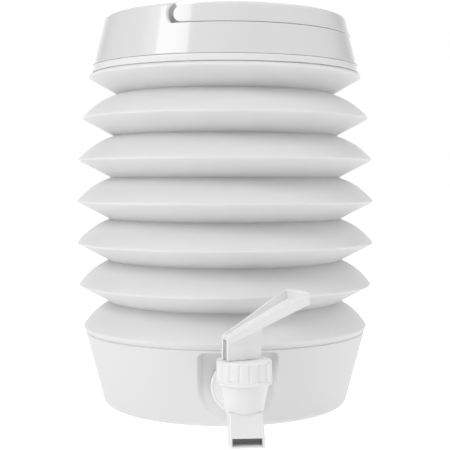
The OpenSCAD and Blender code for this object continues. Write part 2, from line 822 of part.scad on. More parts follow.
module tap_lever() {
    slot_w = tongue_t + 0.5;
    slot_roof = trough_near + 0.9;
    pin_hole = tongue_t + 2 * pin_seat + 0.2;
    color("white") at_lever() difference() {
        union() {
            at_paddle() intersection() {
                side_plate(big) paddle_side(0, paddle_near_t);
                translate([0, 0, -big / 2]) linear_extrude(height = big) paddle_plan(0);
            }
            side_plate(hub_w - 2 * cheek_inset) cheek_outline();
        }
        at_paddle() intersection() {
            side_plate(big) paddle_side(paddle_wall, trough_near);
            translate([0, 0, -big / 2]) linear_extrude(height = big) paddle_plan(paddle_wall);
        }
        intersection() {
            translate([-hub_back - cut, -slot_w / 2, 0])
                cube([hub_back + hub_front + 2 * cut, slot_w, big]);
            at_paddle() side_plate(big) polygon([
                [-2 * lever_back, -big / 4], [big / 4, -big / 4],
                [lever_front, -paddle_far_t - 0.1], [-2, -paddle_near_t - 0.4],
                [-lever_back, -slot_roof], [-2 * lever_back, -slot_roof],
            ]);
        }
        translate([0, pin_hole / 2, pin_z]) rotate([90, 0, 0])
            cylinder(r = pin_r + pivot_gap, h = pin_hole, $fn = 64);
    }
}

base_bowl();
lower_seal();
lower_clamp_ring();
bellows();
upper_clamp_ring();
upper_seal();
neck_collar();
lid_shell();
lid_gasket();
carry_handle();
tap_body();
front_gasket();
rear_gasket();
back_nut();
tap_cap();
gland_ring();
tap_spring();
tap_stem();
seat_cup();
lever_pin();
tap_lever();
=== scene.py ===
import json
import math

import bpy
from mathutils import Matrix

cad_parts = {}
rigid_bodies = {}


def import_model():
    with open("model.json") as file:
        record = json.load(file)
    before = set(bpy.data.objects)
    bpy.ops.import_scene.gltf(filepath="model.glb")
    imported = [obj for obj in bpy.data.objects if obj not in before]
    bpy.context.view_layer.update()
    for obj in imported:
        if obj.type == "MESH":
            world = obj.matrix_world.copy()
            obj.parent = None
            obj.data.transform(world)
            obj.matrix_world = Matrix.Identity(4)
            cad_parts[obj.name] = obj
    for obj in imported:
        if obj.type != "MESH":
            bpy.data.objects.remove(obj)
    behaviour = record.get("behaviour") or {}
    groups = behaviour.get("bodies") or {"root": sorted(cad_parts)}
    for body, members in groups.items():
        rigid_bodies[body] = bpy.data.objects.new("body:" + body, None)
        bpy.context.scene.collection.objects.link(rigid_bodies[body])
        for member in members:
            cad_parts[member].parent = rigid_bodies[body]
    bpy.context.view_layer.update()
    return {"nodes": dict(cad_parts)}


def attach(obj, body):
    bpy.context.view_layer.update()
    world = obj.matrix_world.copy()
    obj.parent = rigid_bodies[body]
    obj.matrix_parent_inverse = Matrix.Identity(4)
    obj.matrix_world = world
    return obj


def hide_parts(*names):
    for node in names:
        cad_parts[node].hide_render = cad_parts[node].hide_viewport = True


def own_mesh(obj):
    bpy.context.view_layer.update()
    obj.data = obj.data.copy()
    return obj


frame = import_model()
nodes = frame["nodes"]

MM = 0.001
CAMERA_AZIMUTH = -5.2  # degrees, from straight in front of the tap


# ---- camera ----

def look_from(azimuth, distance, height, pitch, lens, sensor):
    """The camera: its place in metres, its turn and tilt in degrees, its lens in millimetres."""
    a = math.radians(azimuth)
    bpy.ops.object.camera_add(
        location=(math.sin(a) * distance, -math.cos(a) * distance, height),
        rotation=(math.radians(90 - pitch), 0, a),
    )
    camera = bpy.context.object
    camera.name = "product_camera"
    camera.data.lens = lens
    camera.data.sensor_width = sensor
    camera.data.clip_end = 50  # metres, past the far edge of the floor
    bpy.context.scene.camera = camera


look_from(CAMERA_AZIMUTH, distance=0.7249, height=0.159, pitch=2.633, lens=80.86, sensor=36)


# ---- materials ----

MIX_COLOUR = 2  # the output of a Mix node that carries a colour
CLOUD_MM = 25  # size of the faint clouds that a moulding's colour and gloss have


def hex_colour(code):
    """An sRGB hex colour as the linear values that Blender's sockets take."""
    parts = [int(code[i:i + 2], 16) / 255 for i in (1, 3, 5)]
    return tuple(
        c / 12.92 if c <= 0.04045 else ((c + 0.055) / 1.055) ** 2.4 for c in parts
    ) + (1,)


def add_node(tree, kind, inputs=(), links=(), **settings):
    """A node with its settings, its sockets' values, and links as (socket, node, output)."""
    node = tree.nodes.new(kind)
    for key, value in settings.items():
        setattr(node, key, value)
    for key, value in dict(inputs).items():
        node.inputs[key].default_value = value
    for socket, source, output in links:
        tree.links.new(source.outputs[output], node.inputs[socket])
    return node


def new_material(name):
    """A node material and its tree, which is still empty."""
    material = bpy.data.materials.new(name)
    material.use_nodes = True
    material.node_tree.nodes.clear()
    return material, material.node_tree


def moulded(name, colour, roughness, grain_mm, grain_depth, mottle, **shader):
    """A moulded surface: faint clouds in its colour and gloss over a grain of that size and depth.

    Real mould grain is about 0.1 mm across and too fine to show, so each is drawn as coarse as it
    needs to show.
    """
    material, tree = new_material(name)
    coords = add_node(tree, "ShaderNodeTexCoord")
    grain = add_node(tree, "ShaderNodeTexNoise", {"Scale": 1 / (grain_mm * MM), "Detail": 2},
                     [("Vector", coords, "Object")])
    cloud = add_node(tree, "ShaderNodeTexNoise", {"Scale": 1 / (CLOUD_MM * MM), "Detail": 3},
                     [("Vector", coords, "Object")])
    rough = add_node(tree, "ShaderNodeMapRange",
                     {"To Min": roughness * 0.85, "To Max": roughness * 1.15},
                     [("Value", cloud, "Fac")])
    base = hex_colour(colour)
    darker = (*[c * (1 - mottle) for c in base[:3]], 1)
    shade = add_node(tree, "ShaderNodeMix", {"A": darker, "B": base},
                     [("Factor", cloud, "Fac")], data_type="RGBA")
    bump = add_node(tree, "ShaderNodeBump", {"Strength": 0.4, "Distance": grain_depth * MM},
                    [("Height", grain, "Fac")])
    skin = add_node(tree, "ShaderNodeBsdfPrincipled", shader,
                    [("Base Color", shade, MIX_COLOUR), ("Roughness", rough, "Result"),
                     ("Normal", bump, "Normal")])
    add_node(tree, "ShaderNodeOutputMaterial", (), [("Surface", skin, "BSDF")])
    return material


# ABS moulded in a polished tool: the lid mirrors its surroundings as bright and dark patches.
gloss_abs = moulded("gloss_moulded_abs", "#e9e9e9", 0.08, 6, 0.02, 0.01, IOR=1.53)

# Polypropylene moulded in a finely blasted tool: the bowl has one wide, soft sheen.
satin_pp = moulded("satin_moulded_polypropylene", "#ececec", 0.42, 0.9, 0.01, 0.015, IOR=1.49)

# Polypropylene moulded in a polished tool: white tap parts with small soft highlights.
gloss_pp = moulded("gloss_moulded_polypropylene", "#f6f6f6", 0.2, 3, 0.02, 0.01, IOR=1.49)

# Thin blow-moulded LDPE: light spreads inside it, so that the folds look milky and their shade
# is pale.
milky_ldpe = moulded(
    "milky_blow_moulded_ldpe", "#f1f1f1", 0.55, 2, 0.03, 0.03, IOR=1.51,
    **{"Subsurface Weight": 0.5, "Subsurface Radius": (1, 1, 1), "Subsurface Scale": 0.004})

# Pressed silicone rubber: dull and a little darker than the plastics round it.
silicone = moulded("milky_silicone_rubber", "#d0d0cd", 0.5, 1, 0.01, 0.02, IOR=1.41)

# Drawn stainless steel wire: a grey metal with narrow bright streaks.
steel = moulded("drawn_stainless_steel", "#a8a8a6", 0.3, 0.6, 0.01, 0.02, Metallic=1)


# ---- modelling helpers, in millimetres ----

def only(*pieces):
    """Select these pieces alone, with the first as the active one."""
    bpy.ops.object.select_all(action="DESELECT")
    for piece in pieces:
        piece.select_set(True)
    bpy.context.view_layer.objects.active = pieces[0]


def draw_line(points):
    """In edit mode: one more vertex, drawn out along the points by extrusion."""
    bpy.ops.mesh.select_all(action="DESELECT")
    bpy.ops.mesh.primitive_plane_add(size=MM, align="WORLD")
    bpy.ops.mesh.merge(type="CENTER")
    last = (0, 0, 0)
    for i, point in enumerate(points):
        step = [(b - a) * MM for a, b in zip(last, point)]
        if i == 0:
            bpy.ops.transform.translate(value=step)
        else:
            bpy.ops.mesh.extrude_region_move(TRANSFORM_OT_translate={"value": step})
        last = point


def start_piece(name):
    """A piece with an empty mesh, left in edit mode."""
    bpy.ops.object.select_all(action="DESELECT")
    bpy.ops.mesh.primitive_plane_add(size=MM)
    piece = bpy.context.object
    piece.name = name
    bpy.ops.object.mode_set(mode="EDIT")
    bpy.ops.mesh.delete(type="VERT")
    return piece


def turned(name, section, steps=192, centre=(0, 0)):
    """A closed section of (radius, height) corners, spun about an upright axis."""
    piece = start_piece(name)
    x, y = centre
    draw_line([(x + r, y, z) for r, z in list(section) + [section[0]]])
    bpy.ops.mesh.select_all(action="SELECT")
    bpy.ops.mesh.remove_doubles(threshold=0.02 * MM)
    bpy.ops.mesh.spin(steps=steps, angle=2 * math.pi, center=(x * MM, y * MM, 0), axis=(0, 0, 1))
    bpy.ops.mesh.select_all(action="SELECT")
    bpy.ops.mesh.remove_doubles(threshold=0.01 * MM)
    bpy.ops.mesh.normals_make_consistent(inside=False)
    bpy.ops.object.mode_set(mode="OBJECT")
    return piece


def prism(name, outline, y0, y1):
    """A closed outline of (x, z) points in the front view, extruded along Y."""
    piece = start_piece(name)
    draw_line([(x, y0, z) for x, z in outline])
    bpy.ops.mesh.select_all(action="SELECT")
    bpy.ops.mesh.edge_face_add()
    bpy.ops.mesh.extrude_region_move(TRANSFORM_OT_translate={"value": (0, (y1 - y0) * MM, 0)})
    bpy.ops.mesh.select_all(action="SELECT")
    bpy.ops.mesh.normals_make_consistent(inside=False)
    bpy.ops.object.mode_set(mode="OBJECT")
    return piece


def lofted(name, rows):
    """A skin over closed rows of points, each row bridged to the next, with flat ends."""
    piece = start_piece(name)
    count = len(rows[0])
    for i, row in enumerate(rows):
        draw_line(row)
        bpy.ops.mesh.select_linked()
        bpy.ops.mesh.edge_face_add()
        if 0 < i < len(rows) - 1:
            bpy.ops.mesh.delete(type="ONLY_FACE")
    for i in range(len(rows) - 1):
        bpy.ops.mesh.select_all(action="DESELECT")
        bpy.ops.object.mode_set(mode="OBJECT")
        for vertex in piece.data.vertices[i * count:(i + 2) * count]:
            vertex.select = True
        bpy.ops.object.mode_set(mode="EDIT")
        bpy.ops.mesh.select_mode(type="EDGE")
        bpy.ops.mesh.select_mode(type="VERT")
        bpy.ops.mesh.bridge_edge_loops()
    bpy.ops.mesh.select_all(action="SELECT")
    bpy.ops.mesh.normals_make_consistent(inside=False)
    bpy.ops.object.mode_set(mode="OBJECT")
    return piece


def bar(name, r, start, end, segments=96):
    """A round bar between two points, for cutting a bore or adding a boss."""
    run = [(b - a) * MM for a, b in zip(start, end)]
    length = math.hypot(*run)
    middle = [(a + b) / 2 * MM for a, b in zip(start, end)]
    turn = (0, math.acos(run[2] / length), math.atan2(run[1], run[0]))
    bpy.ops.object.select_all(action="DESELECT")
    bpy.ops.mesh.primitive_cylinder_add(radius=r * MM, depth=length, vertices=segments,
                                        location=middle, rotation=turn)
    bpy.context.object.name = name
    bpy.ops.object.transform_apply(location=True, rotation=True, scale=True)
    return bpy.context.object


def box_piece(name, low, high):
    """A box between two opposite corners."""
    size = [abs(b - a) * MM for a, b in zip(low, high)]
    bpy.ops.object.select_all(action="DESELECT")
    bpy.ops.mesh.primitive_cube_add(
        size=1, location=[(a + b) / 2 * MM for a, b in zip(low, high)])
    piece = bpy.context.object
    piece.name = name
    piece.scale = size
    bpy.ops.object.transform_apply(location=True, rotation=True, scale=True)
    return piece


def place(piece, turn=(0, 0, 0), to=(0, 0, 0)):
    """Turn a piece about the origin, in degrees, move it, and put its place in its mesh."""
    only(piece)
    piece.rotation_euler = [math.radians(t) for t in turn]
    piece.location = [c * MM for c in to]
    bpy.ops.object.transform_apply(location=True, rotation=True, scale=True)
    return piece


def combine(piece, tool, how):
    """One boolean step: UNION, DIFFERENCE or INTERSECT with a tool piece, which is used up."""
    only(piece)
    step = piece.modifiers.new("step", "BOOLEAN")
    step.operation = how
    step.solver = "EXACT"
    step.object = tool
    bpy.ops.object.modifier_apply(modifier=step.name)
    bpy.data.objects.remove(tool)
    return piece


def close_slivers(piece, gap=0.02):
    """Merge the points that the boolean steps left closer together than that many millimetres."""
    only(piece)
    bpy.ops.object.mode_set(mode="EDIT")
    bpy.ops.mesh.select_all(action="SELECT")
    bpy.ops.mesh.remove_doubles(threshold=gap * MM)
    bpy.ops.mesh.dissolve_degenerate(threshold=0.005 * MM)
    bpy.ops.object.mode_set(mode="OBJECT")


def arc(cx, cz, r, start, end, n=6):
    """Points of a circular arc from one angle to another, in degrees."""
    turns = [math.radians(start + (end - start) * i / n) for i in range(n + 1)]
    return [(cx + r * math.cos(t), cz + r * math.sin(t)) for t in turns]


def rounded(corners, n=5):
    """A closed outline from (x, z, radius) corners, each corner turned into an arc."""
    outline = []
    for i, (x, z, r) in enumerate(corners):
        if r == 0:
            outline.append((x, z))
            continue
        px, pz = corners[i - 1][:2]
        qx, qz = corners[(i + 1) % len(corners)][:2]
        a = math.atan2(pz - z, px - x)
        b = math.atan2(qz - z, qx - x)
        turn = (b - a + math.pi) % (2 * math.pi) - math.pi
        half = abs(turn) / 2
        middle = a + turn / 2
        cx = x + r / math.sin(half) * math.cos(middle)
        cz = z + r / math.sin(half) * math.sin(middle)
        sweep = math.copysign(math.pi - 2 * half, turn)
        first = middle + math.pi + sweep / 2
        for k in range(n + 1):
            t = first - sweep * k / n
            outline.append((cx + r * math.cos(t), cz + r * math.sin(t)))
    return outline


def soften(piece, width=0.0, segments=3, angle=32):
    """Round the sharp edges, then shade the piece smooth."""
    only(piece)
    if width:
        bevel = piece.modifiers.new("edge", "BEVEL")
        bevel.width = width * MM
        bevel.segments = segments
        bevel.limit_method = "ANGLE"
        bevel.angle_limit = math.radians(angle)
        bevel.miter_outer = "MITER_ARC"
        bpy.ops.object.modifier_apply(modifier=bevel.name)
    bpy.ops.object.shade_smooth_by_angle(angle=math.radians(angle))
    smooth = piece.modifiers.new("normals", "WEIGHTED_NORMAL")
    smooth.keep_sharp = True
    smooth.weight = 60
    bpy.ops.object.modifier_apply(modifier=smooth.name)


def dress(piece, material, body, slot, *nodes_replaced):
    """Give a finished piece its material and its body, and hide the nodes that it stands for. The
    slot is not used.
    """
    piece.data.materials.clear()
    piece.data.materials.append(material)
    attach(piece, body)
    if nodes_replaced:
        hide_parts(*nodes_replaced)


# ---- bellows ----

PITCH, DOME_H = 29.1, 16.9  # height of a whole fold, and of its domed upper side
DOME_TURN = 36  # degrees that a domed side turns through from ridge to valley
NOSE_SPARE, CREASE_SPARE = 0.72, 1.12  # what rounding takes off a ridge and fills in a valley
RIDGES = [55.5 + PITCH * i for i in range(7)]


def ridge_r(z):
    """Radius of the ridges at a height: the vessel is widest halfway up."""
    return 105 - 0.00089 * (z - 130) ** 2


def valley_r(z):
    """Radius of the valleys at a height."""
    return 83.3 - 0.0006 * (z - 112) ** 2


def fold_side(shift, nose, crease):
    """The side of the bellows: rounded ridges, domed upper sides and straight under sides."""
    side = []
    for z in RIDGES:
        side.append((ridge_r(z) + NOSE_SPARE - shift, z, nose))
        if z == RIDGES[-1]:
            break
        p = (ridge_r(z) + NOSE_SPARE - shift, z)
        q = (valley_r(z + DOME_H) - CREASE_SPARE - shift, z + DOME_H)
        chord = math.dist(p, q)
        r = chord / 2 / math.sin(math.radians(DOME_TURN / 2))
        reach = r * math.cos(math.radians(DOME_TURN / 2))
        cx = (p[0] + q[0]) / 2 - (q[1] - p[1]) / chord * reach
        cz = (p[1] + q[1]) / 2 + (q[0] - p[0]) / chord * reach
        a = math.degrees(math.atan2(p[1] - cz, p[0] - cx))
        side += [(x, h, 0) for x, h in arc(cx, cz, r, a, a + DOME_TURN, 9)[1:-1]]
        side.append((*q, crease))
    return side


def bellows_section():
    """The wall of the bellows from its lower hem to its upper one and back down inside."""
    outer = [(90.7, 51.5, 0), (98.6, 51.5, 0.3)] + fold_side(0, 0.9, 0.4)
    top = [(93, 232.42, 0.4), (86.2, 232.42, 0), (86.2, 231.3, 0), (90.2, 231.3, 0)]
    inner = fold_side(2.04, 0.4, 0.5)[::-1]
    return rounded(outer + top + inner + [(96.9, 52.7, 0), (90.7, 52.7, 0)], 4)


bellows = turned("bellows_wall", bellows_section(), 168)
soften(bellows)
dress(bellows, milky_ldpe, "base", "bellows_milky", "bellows")
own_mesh(bellows)


# ---- base bowl ----

FOOT_R, BOWL_TAPER, BOWL_H = 85.9, 13.4, 51.5
BOWL_SLOPE = BOWL_TAPER / BOWL_H
FOOT_EDGE = 5  # radius of the rounded edge under the bowl
SHANK_Z = 27.5  # height of the hole for the tap
RECESS_R = 24.5  # half the width of the tap's recess
RECESS_FLOOR = 86.5  # how far in front of the vessel's axis its floor stands
CORNER_R, CORNER_Z = 3, 46.5  # the two upper corners of the recess
CORNER_X = RECESS_R - CORNER_R
TOP_GROWTH = 0.3  # share of the sideways growth that the recess's upper edge takes
SOFT_W, SOFT_IN, SOFT_STEPS = 4.6, 2.6, 8  # width of the soft wall, and how far inside it starts


def bowl_r(z):
    """Radius of the outside of the bowl, with its rounded foot edge."""
    foot = 0
    if z < FOOT_EDGE:
        foot = FOOT_EDGE - math.sqrt(max(FOOT_EDGE ** 2 - (FOOT_EDGE - z) ** 2, 0))
    return FOOT_R + BOWL_SLOPE * z - foot


def recess_path():
    """The outline of the recess in the front view, as points (x, z), each with its way outward."""
    path = [(-RECESS_R, z, -1, 0) for z in (CORNER_Z, 40, 34)]
    for i in range(37):
        t = math.radians(180 + 5 * i)
        path.append((RECESS_R * math.cos(t), SHANK_Z + RECESS_R * math.sin(t),
                     math.cos(t), math.sin(t)))
    path += [(RECESS_R, z, 1, 0) for z in (34, 40, CORNER_Z)]
    for i in range(1, 7):
        t = math.radians(15 * i)
        path.append((CORNER_X + CORNER_R * math.cos(t), CORNER_Z + CORNER_R * math.sin(t),
                     math.cos(t), TOP_GROWTH * math.sin(t)))
    path += [(x, CORNER_Z + CORNER_R, 0, TOP_GROWTH) for x in (12, 0, -12)]
    for i in range(6):
        t = math.radians(90 + 15 * i)
        path.append((CORNER_R * math.cos(t) - CORNER_X, CORNER_Z + CORNER_R * math.sin(t),
                     math.cos(t), TOP_GROWTH * math.sin(t)))
    return path


def recess_row(offset, share):
    """The recess's outline grown sideways, that share of the way from floor to bowl's face."""
    row = []
    for x, z, nx, nz in recess_path():
        x, z = x + nx * offset, z + nz * offset
        face = math.sqrt(bowl_r(max(z, 0.2)) ** 2 - x * x)
        row.append((x, -RECESS_FLOOR - max(face - RECESS_FLOOR, 0.02) * share, z))
    return row


def recess_tool():
    """What is cut away for the recess: a flat floor and a soft wall that rolls out of it."""
    wall = [
        recess_row(SOFT_W * i / SOFT_STEPS - SOFT_IN, (1 - math.cos(math.pi * i / SOFT_STEPS)) / 2)
        for i in range(SOFT_STEPS)
    ]
    leave = recess_row(8.2, 1.4)  # past the bowl's face
    clear = [(x, -115, z) for x, y, z in leave]
    return lofted("recess_tool", wall + [leave, clear])


def build_bowl():
    """The bowl with its sleeve, seal groove, foot ring, tap pocket and recess."""
    bowl = turned("moulded_bowl", rounded([
        (0, 1.2, 0), (74, 1.2, 0.4), (74, 0, 0.6), (85.9, 0, 5), (99.3, 51.5, 0.6),
        (96.1, 51.5, 0), (96.1, 49.2, 0), (93.6, 49.2, 0), (93.6, 51.5, 0), (90.4, 51.5, 0),
        (90.4, 55.7, 0.3), (88.6, 55.7, 0.3), (88.6, 47.3, 0), (95.93, 47.3, 0.5),
        (84.51, 3.4, 2.8), (0, 3.4, 0)]))
    pocket = arc(0, SHANK_Z, 26.7, 180, 360, 30) + [(26.7, 50.4), (-26.7, 50.4)]
    wall = prism("pocket", pocket, -84.3, -110)
    limit = turned("pocket_limit", [(0, 1.8), (84.5, 1.8), (97.9, 50.6), (0, 50.6)])
    combine(wall, limit, "INTERSECT")
    combine(bowl, wall, "UNION")
    combine(bowl, recess_tool(), "DIFFERENCE")
    combine(bowl, bar("shank_hole", 8.3, (0, -80, SHANK_Z), (0, -90, SHANK_Z)), "DIFFERENCE")
    soften(bowl)
    dress(bowl, satin_pp, "base", "bowl_white", "base_bowl")


build_bowl()


# ---- neck collar ----

collar = turned("neck_bead", rounded([
    (84, 228.1, 0.3), (85.9, 228.1, 0.3), (85.9, 232.5, 0), (88.05, 232.5, 0), (88.05, 234.8, 0),
    (90.55, 234.8, 0), (90.55, 232.5, 0), (94.4, 232.5, 1.1), (94.4, 237.1, 1.1),
    (85.9, 237.1, 0.4), (85.9, 243.9, 0.5), (84, 243.9, 0.5)], 7))
soften(collar)
dress(collar, gloss_pp, "upper", "lid_white", "neck_collar")


# ---- lid and carry handle ----

LID_SLOPE = 8.2 / 33
LEDGE_Z = 257.1  # floor of the handle's channel
PIVOT_X, PIVOT_Z = -34.5, 262.8  # axis of the handle's pivots
SCOOP_Z = 350.53  # height of the axis that the finger scoop curves round
NOTCH_X, NOTCH_R, NOTCH_ROLL = -42.7, 8.2, 2.5  # the round end of the channel and its rolled edge


def lid_r(z):
    """Radius of the lid's outside at a height."""
    return 94.2 - LID_SLOPE * (z - 237.5)


def scoop(r, half, back):
    """The finger scoop under the handle: a wide round trough, open at the lid's edge."""
    trough = bar("scoop", r, (20, 0, SCOOP_Z), (120, 0, SCOOP_Z), 360)
    combine(trough, box_piece("scoop_sides", (0, -half, 240), (130, half, 290)), "INTERSECT")
    return combine(trough, bar("scoop_back", back, (0, 0, 200), (0, 0, 500), 192), "DIFFERENCE")


def notch_row(offset, depth, side):
    """The round end of the handle's channel, grown sideways, that deep in the face of the lid."""
    row = []
    for i in range(20):
        t = math.radians(-42 + 7.2 * i)
        x = NOTCH_X + NOTCH_R - NOTCH_R * math.cos(t) - math.cos(t) * offset
        z = PIVOT_Z + NOTCH_R * math.sin(t) + math.sin(t) * offset
        row.append((x, side * (math.sqrt(lid_r(z) ** 2 - x * x) - depth), z))
    return row + [(-24, row[-1][1], row[-1][2]), (-24, row[0][1], row[0][2])]


def notch_tool(side):
    """What is cut away round the handle's pivot, with a rolled edge."""
    bottom = [(x, side * 71.6, z) for x, y, z in notch_row(0, 0, side)]
    rolled = []
    for i in range(5):
        t = math.radians(18 * i)
        rolled.append(notch_row(NOTCH_ROLL - NOTCH_ROLL * math.cos(t),
                                NOTCH_ROLL - NOTCH_ROLL * math.sin(t), side))
    leave = notch_row(7, -1.5, side)  # past the lid's face
    clear = [(x, side * 105, z) for x, y, z in leave]
    rows = [bottom] + rolled + [leave, clear]
    return lofted("notch_tool", [[(x, y, max(z, LEDGE_Z)) for x, y, z in row] for row in rows])


def pivot_bar(name, r, start, end):
    """A round bar along the handle's pivot axis, from one y to another."""
    return bar(name, r, (PIVOT_X, start, PIVOT_Z), (PIVOT_X, end, PIVOT_Z))


def build_lid():
    """The lid: a hollow cone with a raised back, plug skirt, channel ends, stud holes and scoop."""
    lid = turned("moulded_lid", rounded([
        (0, 237.2, 0), (lid_r(237.2), 237.2, 0.3), (lid_r(LEDGE_Z), LEDGE_Z, 0.7),
        (lid_r(LEDGE_Z) - 5.4, LEDGE_Z, 0), (lid_r(268.1) - 5.4, 268.1, 0.8), (0, 268.1, 0)]))
    back = turned("lid_back", rounded([
        (0, 240, 0), (lid_r(240), 240, 0), (86, 270.5, 3), (81.4, 270.5, 0.6), (80.4, 268.1, 0.8),
        (0, 268.1, 0)]))
    keep = prism("back_region", [
        (-120, 230), (-41, 230), (-41, 258), (PIVOT_X, 258), (PIVOT_X, 280), (-120, 280)],
        -120, 120)
    combine(back, keep, "INTERSECT")
    combine(lid, back, "UNION")
    close_slivers(lid)
    hollow = turned("lid_hollow", [
        (0, 236.5), (lid_r(236.5) - 2.2, 236.5), (lid_r(LEDGE_Z) - 2.2, 254.9),
        (lid_r(254.9) - 7.6, 254.9), (lid_r(265.9) - 7.6, 265.9), (0, 265.9)])
    rim = turned("rim_hollow", [
        (70, 253.9), (lid_r(LEDGE_Z) - 2.2, 253.9), (lid_r(268.1) - 2.8, 265.9), (70, 265.9)])
    combine(rim, box_piece("rim_region", (-120, -120, 230), (-44.9, 120, 290)), "INTERSECT")
    combine(hollow, rim, "UNION")
    combine(hollow, scoop(104.23, 42.2, 68.8), "DIFFERENCE")
    for side in (-1, 1):
        combine(hollow, pivot_bar("pivot_wall", 10.4, side * 67.8, side * 110), "DIFFERENCE")
    combine(lid, hollow, "DIFFERENCE")
    skirt = turned("lid_plug", rounded([
        (81.6, 239.1, 0.3), (83.6, 239.1, 0.3), (83.6, 245.8, 0), (86.5, 245.8, 0),
        (86.5, 255.4, 0), (81.6, 255.4, 0)]))
    combine(lid, skirt, "UNION")
    combine(lid, scoop(102.03, 40, 71), "DIFFERENCE")
    for side in (-1, 1):
        combine(lid, notch_tool(side), "DIFFERENCE")
        combine(lid, pivot_bar("stud_hole", 3.1, side * 66, side * 74), "DIFFERENCE")
    close_slivers(lid)
    soften(lid)
    dress(lid, gloss_abs, "lid", "lid_white", "lid_shell")


build_lid()


def handle_outline():
    """The handle in the front view: round at its pivot, full height from there to its grip."""
    band = [(PIVOT_X, 257.4), (120, 257.4), (120, 275), (-8, 275), (-8, 270.5), (-24, 269.2),
            (PIVOT_X, 268.2)]
    return band + arc(PIVOT_X, PIVOT_Z, 5.4, 100, 260, 24)


def build_handle():
    """The carry handle: a band round the lid, with a boss and a stud at each pivot."""
    handle = turned("swing_handle", rounded([
        (lid_r(257.4) - 4.6, 257.4, 0.6), (lid_r(257.4), 257.4, 0.7), (86, 270.5, 3),
        (81.4, 270.5, 0.6)]))
    combine(handle, prism("handle_outline", handle_outline(), -120, 120), "INTERSECT")
    limit = turned("boss_limit", rounded([
        (0, 257.4, 0), (lid_r(257.4), 257.4, 0.7), (86, 270.5, 3), (0, 270.5, 0)]))
    bosses = pivot_bar("boss", 5.4, 72, 110)
    combine(bosses, pivot_bar("boss", 5.4, -72, -110), "UNION")
    combine(bosses, limit, "INTERSECT")
    combine(handle, bosses, "UNION")
    for side in (-1, 1):
        combine(handle, pivot_bar("stud", 3, side * 68.8, side * 73), "UNION")
    soften(handle)
    dress(handle, gloss_abs, "handle", "lid_white", "carry_handle")


build_handle()


# ---- tap ----

TAP = (0, -126)  # the upright axis of the tap
FLUTES, FLUTE_TURN = 18, 4.8  # grooves round the cap, and degrees to the first one
LEVER_SLOPE, LEVER_Z, LEVER_REST = 27.8, 72.1, 18  # degrees up, root's height, degrees round


def slab(width, y0, y1, z, r):
    """A rounded rectangle across the tap's axis, as one row of the spout."""
    row = []
    for cx, cy, first in ((1, y0 - r, 0), (-1, y0 - r, 90), (-1, y1 + r, 180), (1, y1 + r, 270)):
        for k in range(7):
            t = math.radians(first + 15 * k)
            row.append((cx * (width / 2 - r) + r * math.cos(t), TAP[1] + cy + r * math.sin(t), z))
    return row


def build_tap_body():
    """The barrel, spout, flange and shank, with one cut for the bores and the spout's mouth."""
    body = turned("tap_barrel", rounded([
        (0, 17.9, 0), (11.3, 17.9, 5.5), (14.9, 36.9, 0.4), (14.2, 36.9, 0), (14.2, 47.5, 0.3),
        (0, 47.5, 0)], 12), 128, TAP)
    spout = lofted("spout", [
        slab(20.4, 8, -10.5, 20.9, 2), slab(20.4, 8, -10.5, 20.5, 2), slab(21.4, -5, -20, 3.1, 1.2),
        slab(21.1, -5.15, -19.85, 2.6, 1.1), slab(20.4, -5.5, -19.5, 2.4, 0.8)])
    combine(body, spout, "UNION")
    shank = turned("shank", rounded([
        (0, 73.3, 0), (8, 73.3, 0.6), (8, 88, 0), (17.4, 88, 0.4), (17.4, 90.6, 1),
        (15.8, 90.6, 0.5), (15.3, 90, 0.4), (8.8, 90, 1.2), (8.8, 120, 0), (0, 120, 0)]), 128)
    combine(body, place(shank, (90, 0, 0), (0, 0, SHANK_Z)), "UNION")
    bore = turned("barrel_bore", [
        (0, 16), (5.2, 16), (5.2, 23), (6.4, 23), (6.4, 22.2), (10.6, 22.2), (10.6, 60),
        (0, 60)], 96, TAP)
    outlet = lofted("outlet", [
        slab(17.8, 3, -7, 18.9, 1.5), slab(17.8, 3, -7, 18.5, 1.5), slab(17.8, -8, -17.5, 3.7, 0.4),
        slab(17.8, -8, -17.5, 3.3, 0.4)])
    mouth = prism("spout_mouth", rounded([
        (-8.85, 3.4, 0.3), (8.85, 3.4, 0.3), (8.85, 7.7, 0.3), (-8.85, 7.7, 0.3)], 3),
        TAP[1] - 11.5, TAP[1] - 21)
    combine(outlet, mouth, "UNION")
    combine(outlet, bore, "UNION")
    combine(outlet, bar("shank_bore", 5.2, (0, -70, SHANK_Z), (0, -121, SHANK_Z)), "UNION")
    close_slivers(body)
    combine(body, outlet, "DIFFERENCE")
    close_slivers(body, 0.01)
    soften(body)
    dress(body, gloss_pp, "base", "tap_white", "tap_body")


def build_tap_cap():
    """The screw cap with its gland and its grooves, which are cut by copies of one rounded bar."""
    cap = turned("screw_cap", rounded([
        (4.15, 51.3, 0.4), (4.15, 45.3, 0), (6.17, 45.3, 0), (6.17, 43, 0), (7.4, 43, 0),
        (7.4, 47.9, 0), (14.5, 47.9, 0.6), (14.5, 37.3, 0.3), (17, 37.3, 0.4), (17.2, 38.5, 0.5),
        (16.7, 39.1, 0.3), (16.7, 51.3, 1.6)], 4), 128, TAP)
    flute = bar("flute", 1.35, (0, TAP[1] + 17.4, 39.6), (0, TAP[1] + 17.4, 50.3), 24)
    only(flute)
    rim = flute.modifiers.new("end", "BEVEL")
    rim.width = 0.9 * MM
    rim.segments = 3
    rim.limit_method = "ANGLE"
    bpy.ops.object.modifier_apply(modifier=rim.name)
    flutes = []
    for i in range(FLUTES):
        only(flute)
        bpy.ops.object.duplicate()
        copy = bpy.context.object
        place(copy, to=(0, -TAP[1], 0))
        place(copy, (0, 0, 360 / FLUTES * i + FLUTE_TURN), (0, TAP[1], 0))
        flutes.append(copy)
    bpy.data.objects.remove(flute)
    only(*flutes)
    bpy.ops.object.join()
    combine(cap, bpy.context.object, "DIFFERENCE")
    soften(cap, 0.25, 2, 40)
    dress(cap, gloss_pp, "base", "tap_white", "tap_cap")


